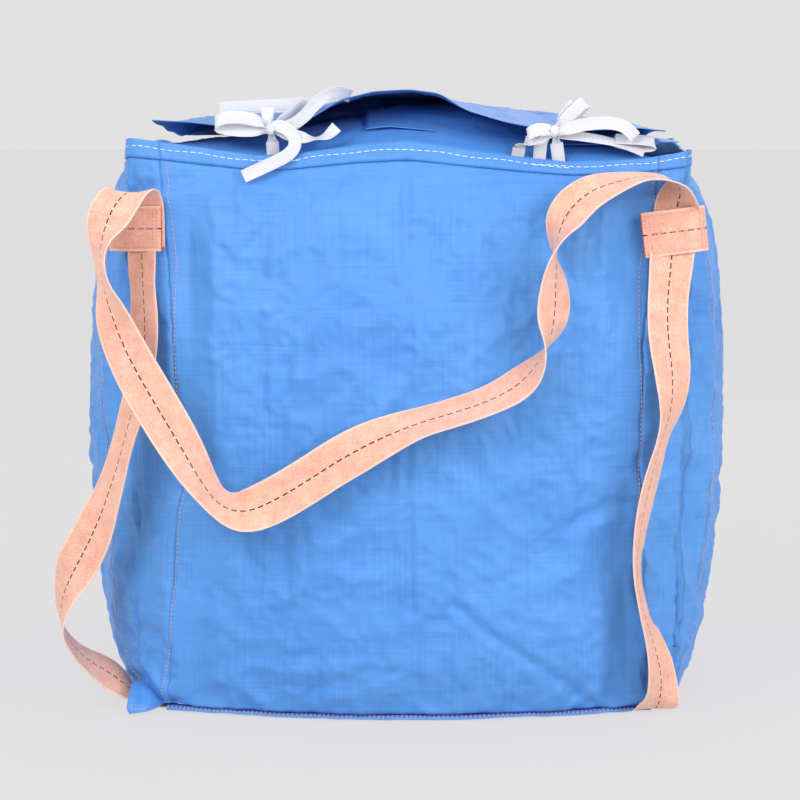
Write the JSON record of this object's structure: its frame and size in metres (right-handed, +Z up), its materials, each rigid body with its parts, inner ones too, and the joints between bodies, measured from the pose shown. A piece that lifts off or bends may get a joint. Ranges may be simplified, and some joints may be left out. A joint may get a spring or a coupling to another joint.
{
  "type": "bulk bag",
  "caption": "Woven bulk bag, standing filled, with webbing slings, lifting loops and a tied flap top.",
  "frame": {"origin": "centre of the base on the floor", "axes": "+Z up, the front with its tied bows faces -Y, +X to the right seen from the front"},
  "size_m": [1.101, 1.2192, 0.9862],
  "materials": {
    "cloth": "woven polypropylene, slight sheen",
    "webbing": "matt woven webbing",
    "tape": "matt woven tape"
  },
  "bodies": {
    "root": {"back_panel": "cloth", "base_flange_front": "cloth", "base_flange_left": "cloth", "base_flange_rear": "cloth", "base_flange_right": "cloth", "base_panel": "cloth", "base_strap_lower": "webbing", "base_strap_upper": "webbing", "corner_strip_front_left": "cloth", "corner_strip_front_right": "cloth", "corner_strip_rear_left": "cloth", "corner_strip_rear_right": "cloth", "front_panel": "cloth", "hem_corners": "cloth", "hem_front": "cloth", "hem_left": "cloth", "hem_rear": "cloth", "hem_right": "cloth", "left_panel": "cloth", "loop_end_front_left": "webbing", "loop_end_front_right": "webbing", "loop_end_rear_left": "webbing", "loop_end_rear_right": "webbing", "right_panel": "cloth", "sling_leg_front_left": "webbing", "sling_leg_front_right": "webbing", "sling_leg_rear_left": "webbing", "sling_leg_rear_right": "webbing", "sling_patch_front_left": "webbing", "sling_patch_front_right": "webbing", "sling_patch_rear_left": "webbing", "sling_patch_rear_right": "webbing", "tie_anchor_left": "tape", "tie_anchor_right": "tape"},
    "front_loop": {"lifting_loop_front": "webbing"},
    "rear_loop": {"lifting_loop_rear": "webbing"},
    "cover": {"cover_flap": "cloth", "tie_knot_left": "tape", "tie_knot_right": "tape", "tie_loops_left": "tape", "tie_loops_right": "tape", "tie_tail_left": "tape", "tie_tail_right": "tape"},
    "front_fold": {"front_flap": "cloth"},
    "left_fold": {"left_flap": "cloth"},
    "right_fold": {"right_flap": "cloth"}
  },
  "joints": [
    {"name": "front_loop_swing", "type": "hinge", "parent": "root", "child": "front_loop", "pos_m": [-0.428, -0.4945, 0.8255], "axis": [-0.9995, 0.0069, -0.03], "range_deg": [0, 145]},
    {"name": "rear_loop_swing", "type": "hinge", "parent": "root", "child": "rear_loop", "pos_m": [-0.428, 0.4945, 0.8255], "axis": [0.9995, 0.0069, 0.03], "range_deg": [0, 145]},
    {"name": "cover_open", "type": "hinge", "parent": "root", "child": "cover", "pos_m": [0, 0.428, 0.904], "axis": [-1, 0, 0], "range_deg": [0, 85]},
    {"name": "front_flap_open", "type": "hinge", "parent": "root", "child": "front_fold", "pos_m": [0, -0.424, 0.892], "axis": [1, 0, 0], "range_deg": [0, 68]},
    {"name": "right_flap_open", "type": "hinge", "parent": "root", "child": "right_fold", "pos_m": [0.422, 0, 0.8965], "axis": [0, 1, 0], "range_deg": [0, 76.5]},
    {"name": "left_flap_open", "type": "hinge", "parent": "root", "child": "left_fold", "pos_m": [-0.422, 0, 0.886], "axis": [0, -1, 0], "range_deg": [0, 59.5]}
  ],
  "couplings": [
    {"joint": "front_flap_open", "follows": "cover_open", "ratio": 0.8},
    {"joint": "right_flap_open", "follows": "cover_open", "ratio": 0.9},
    {"joint": "left_flap_open", "follows": "cover_open", "ratio": 0.7}
  ]
}
